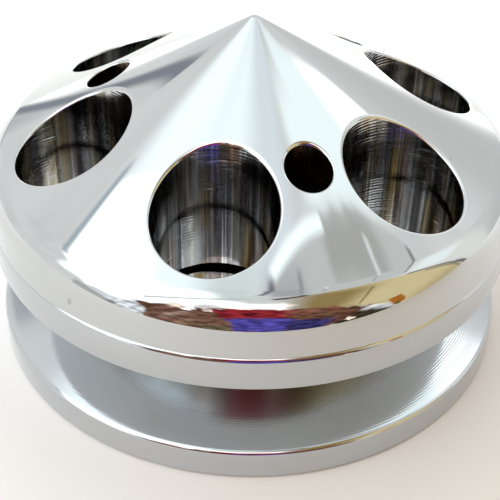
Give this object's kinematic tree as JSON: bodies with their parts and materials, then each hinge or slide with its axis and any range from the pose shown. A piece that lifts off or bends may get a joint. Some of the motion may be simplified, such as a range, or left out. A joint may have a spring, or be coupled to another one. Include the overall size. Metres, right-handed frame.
{
  "type": "v-belt pulley with bullet nose cone",
  "caption": "Chrome-plated billet V-belt pulley with a conical nose cover that is pierced by large round windows and held on by recessed cap screws.",
  "frame": {"origin": "centre of the pulley's back face, on the shaft axis", "axes": "+Z along the shaft axis, out through the tip of the nose; -Y towards the first nose screw"},
  "size_m": [0.07, 0.07, 0.0452],
  "materials": {
    "pulley_chrome": "bright chrome plate over turned aluminium",
    "nose_chrome": "mirror chrome plate over polished aluminium",
    "zinc_steel": "zinc-plated steel",
    "spring_steel": "dark phosphated spring steel",
    "black_steel": "black-oxide steel with a trace of oil"
  },
  "bodies": {
    "pulley": {"pulley": "pulley_chrome", "flat_washer": "zinc_steel"},
    "nose": {"nose_cone": "nose_chrome"},
    "nut_carrier": {"lock_washer": "spring_steel"},
    "nut": {"shaft_nut": "zinc_steel"},
    "screw_1_carrier": {"screw_washer_1": "spring_steel"},
    "screw_1_body": {"screw_1": "black_steel"},
    "screw_2_carrier": {"screw_washer_2": "spring_steel"},
    "screw_2_body": {"screw_2": "black_steel"},
    "screw_3_carrier": {"screw_washer_3": "spring_steel"},
    "screw_3_body": {"screw_3": "black_steel"}
  },
  "joints": [
    {"name": "nose_lift", "type": "slide", "parent": "pulley", "child": "nose", "axis": [0, 0, 1], "range_m": [0, 0.04]},
    {"name": "nut_rise", "type": "slide", "parent": "pulley", "child": "nut_carrier", "axis": [0, 0, 1], "range_m": [0, 0.009]},
    {"name": "nut_turn", "type": "hinge", "parent": "nut_carrier", "child": "nut", "pos_m": [0, 0, 0.0155], "axis": [0, 0, 1], "range_deg": [0, 2160]},
    {"name": "screw_1_rise", "type": "slide", "parent": "nose", "child": "screw_1_carrier", "axis": [0, 0, 1], "range_m": [0, 0.0075]},
    {"name": "screw_1_turn", "type": "hinge", "parent": "screw_1_carrier", "child": "screw_1_body", "pos_m": [0, -0.0194, 0.023], "axis": [0, 0, 1], "range_deg": [0, 5400]},
    {"name": "screw_2_rise", "type": "slide", "parent": "nose", "child": "screw_2_carrier", "axis": [0, 0, 1], "range_m": [0, 0.0075]},
    {"name": "screw_2_turn", "type": "hinge", "parent": "screw_2_carrier", "child": "screw_2_body", "pos_m": [0.0168, 0.0097, 0.023], "axis": [0, 0, 1], "range_deg": [0, 5400]},
    {"name": "screw_3_rise", "type": "slide", "parent": "nose", "child": "screw_3_carrier", "axis": [0, 0, 1], "range_m": [0, 0.0075]},
    {"name": "screw_3_turn", "type": "hinge", "parent": "screw_3_carrier", "child": "screw_3_body", "pos_m": [-0.0168, 0.0097, 0.023], "axis": [0, 0, 1], "range_deg": [0, 5400]}
  ],
  "couplings": [
    {"joint": "nut_turn", "follows": "nut_rise", "rad_per_m": 4188.8},
    {"joint": "screw_1_turn", "follows": "screw_1_rise", "rad_per_m": 12566},
    {"joint": "screw_2_turn", "follows": "screw_2_rise", "rad_per_m": 12566},
    {"joint": "screw_3_turn", "follows": "screw_3_rise", "rad_per_m": 12566}
  ]
}
